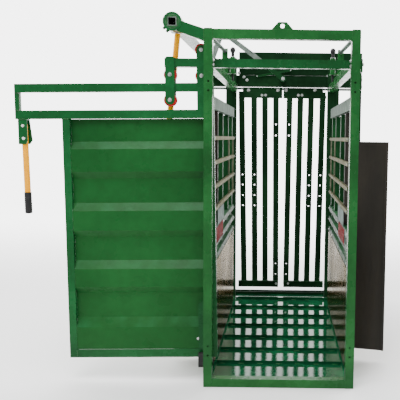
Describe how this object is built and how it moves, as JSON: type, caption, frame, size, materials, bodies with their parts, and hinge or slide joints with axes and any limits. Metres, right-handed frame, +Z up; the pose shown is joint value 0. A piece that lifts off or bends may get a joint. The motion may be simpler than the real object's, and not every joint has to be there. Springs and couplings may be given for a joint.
{
  "type": "cattle squeeze chute",
  "caption": "Open steel livestock chute with a sliding ribbed rear door, a parting barred head gate, hinged squeeze sides, folding wing panels and a control shaft with levers.",
  "frame": {"origin": "on the ground under the middle of the chute, at the lower end face of the middle floor bearer", "axes": "+X across the chute to the right seen from the rear door end, +Y along the chute towards the head gate, +Z up"},
  "size_m": [2.2708, 2.29, 2.422],
  "materials": {
    "green_paint": "gloss green enamel",
    "green_dark": "gloss green enamel, deeper in shade",
    "floor_paint": "gloss green enamel floor plate",
    "zinc": "galvanised",
    "sheet_bright": "bright sheet, vertically brushed, warm",
    "yellow_paint": "gloss yellow enamel",
    "red_plastic": "moulded roller",
    "black_rubber": "moulded grip",
    "brown_panel": "dark faced board"
  },
  "bodies": {
    "chassis": {"base_rail_left": "green_paint", "base_rail_right": "green_paint", "door_beam": "green_paint", "door_foot_guide": "black_rubber", "floor": "floor_paint", "gate_slide_rod": "zinc", "head_bottom_guide": "green_dark", "head_post_left": "green_dark", "head_post_right": "green_dark", "head_top_beam": "green_dark", "head_track_beam": "green_dark", "head_upright_left": "green_dark", "head_upright_right": "green_dark", "rear_post_left": "green_paint", "rear_post_right": "green_paint", "rear_sill": "green_paint", "rear_top_bar": "green_paint", "roller_bracket_front": "green_paint", "shaft_arm_head": "green_dark", "shaft_arm_rear": "green_paint", "top_rail_left": "green_paint", "top_rail_right": "green_paint", "top_strut_left": "zinc", "top_strut_right": "zinc"},
    "door": {"door_hanger_frame": "green_paint", "door_second_rail": "green_paint", "door_panel_frame": "green_paint", "door_sheet": "green_paint", "door_hanger_plate": "green_paint", "door_foot_plate": "green_paint", "handle_bracket": "green_paint"},
    "door_handle": {"handle_lever": "yellow_paint", "handle_grip": "black_rubber"},
    "outer_roller_upper": {"outer_roller_upper": "red_plastic"},
    "outer_roller_lower": {"outer_roller_lower": "red_plastic"},
    "inner_roller_upper": {"inner_roller_upper": "red_plastic"},
    "inner_roller_lower": {"inner_roller_lower": "red_plastic"},
    "control": {"control_shaft": "zinc", "control_lever": "yellow_paint", "control_grip": "black_rubber", "shaft_crank": "zinc"},
    "gate_link": {"gate_link": "zinc"},
    "gate_rocker": {"gate_rocker": "green_paint"},
    "head_gate_left": {"head_gate_left": "green_dark", "gate_tie_bar": "green_paint"},
    "head_gate_right": {"head_gate_right": "green_dark"},
    "squeeze_left": {"side_sheet_left": "sheet_bright", "side_frame_left": "green_paint", "side_top_rail_left": "zinc", "side_bars_left": "sheet_bright", "wing_post_left": "brown_panel"},
    "wing_left": {"wing_panel_left": "brown_panel"},
    "latch_left": {"latch_knob_left": "black_rubber"},
    "squeeze_right": {"side_sheet_right": "sheet_bright", "side_frame_right": "green_paint", "side_top_rail_right": "zinc", "side_bars_right": "sheet_bright", "wing_post_right": "brown_panel"},
    "wing_right": {"wing_panel_right": "brown_panel"},
    "latch_right": {"latch_knob_right": "black_rubber"}
  },
  "joints": [
    {"name": "door_slide", "type": "slide", "parent": "chassis", "child": "door", "axis": [1, 0, 0.0087], "range_m": [0, 0.84]},
    {"name": "handle_pivot", "type": "hinge", "parent": "door", "child": "door_handle", "pos_m": [-1.51676, -1.101, 1.54787], "axis": [0, 1, 0], "range_deg": [-12, 35]},
    {"name": "outer_roller_upper_spin", "type": "hinge", "parent": "chassis", "child": "outer_roller_upper", "pos_m": [-0.653, -1.098, 1.845], "axis": [0, 1, 0], "continuous": true},
    {"name": "outer_roller_lower_spin", "type": "hinge", "parent": "chassis", "child": "outer_roller_lower", "pos_m": [-0.653, -1.098, 1.699], "axis": [0, 1, 0], "continuous": true},
    {"name": "inner_roller_upper_spin", "type": "hinge", "parent": "door", "child": "inner_roller_upper", "pos_m": [-0.4713, -1.098, 1.98918], "axis": [0, 1, 0], "continuous": true},
    {"name": "inner_roller_lower_spin", "type": "hinge", "parent": "door", "child": "inner_roller_lower", "pos_m": [-0.46871, -1.098, 1.8407], "axis": [0, 1, 0], "continuous": true},
    {"name": "control_turn", "type": "hinge", "parent": "chassis", "child": "control", "pos_m": [-0.628, 0, 2.1385], "axis": [0, 1, 0], "range_deg": [0, 75]},
    {"name": "link_pivot", "type": "hinge", "parent": "control", "child": "gate_link", "pos_m": [-0.535, 0.845, 2.398], "axis": [0, 1, 0], "range_deg": [-108, 2]},
    {"name": "rocker_pivot", "type": "hinge", "parent": "chassis", "child": "gate_rocker", "pos_m": [0, 0.855, 2], "axis": [0, 1, 0], "range_deg": [-2, 117]},
    {"name": "head_gate_left_slide", "type": "slide", "parent": "chassis", "child": "head_gate_left", "axis": [-1, 0, 0], "range_m": [-0.003, 0.238]},
    {"name": "head_gate_right_slide", "type": "slide", "parent": "chassis", "child": "head_gate_right", "axis": [1, 0, 0], "range_m": [-0.003, 0.238]},
    {"name": "squeeze_left_tilt", "type": "hinge", "parent": "chassis", "child": "squeeze_left", "pos_m": [-0.43, 0, 0.098], "axis": [0, 1, 0], "range_deg": [0, 10]},
    {"name": "squeeze_right_tilt", "type": "hinge", "parent": "chassis", "child": "squeeze_right", "pos_m": [0.43, 0, 0.098], "axis": [0, -1, 0], "range_deg": [0, 10]},
    {"name": "wing_left_swing", "type": "hinge", "parent": "squeeze_left", "child": "wing_left", "pos_m": [-0.474, -0.634, 0.8], "axis": [0, 0, 1], "range_deg": [-60, 0]},
    {"name": "wing_right_swing", "type": "hinge", "parent": "squeeze_right", "child": "wing_right", "pos_m": [0.474, -0.634, 0.8], "axis": [0, 0, -1], "range_deg": [-60, 0]},
    {"name": "latch_left_pull", "type": "slide", "parent": "chassis", "child": "latch_left", "axis": [0, 0, 1], "range_m": [0, 0.025], "stiffness_N_per_m": 900, "springref_m": -0.006},
    {"name": "latch_right_pull", "type": "slide", "parent": "chassis", "child": "latch_right", "axis": [0, 0, 1], "range_m": [0, 0.025], "stiffness_N_per_m": 900, "springref_m": -0.006}
  ],
  "couplings": [
    {"joint": "outer_roller_upper_spin", "follows": "door_slide", "rad_per_m": -26.316},
    {"joint": "outer_roller_lower_spin", "follows": "door_slide", "rad_per_m": 26.316},
    {"joint": "inner_roller_upper_spin", "follows": "door_slide", "rad_per_m": 26.316},
    {"joint": "inner_roller_lower_spin", "follows": "door_slide", "rad_per_m": -26.316},
    {"joint": "link_pivot", "follows": "control_turn", "ratio": -1.42},
    {"joint": "rocker_pivot", "follows": "control_turn", "ratio": 1.53},
    {"joint": "head_gate_left_slide", "follows": "control_turn", "m_per_rad": 0.17953},
    {"joint": "head_gate_right_slide", "follows": "control_turn", "m_per_rad": 0.17953},
    {"joint": "squeeze_right_tilt", "follows": "squeeze_left_tilt", "ratio": 1}
  ]
}
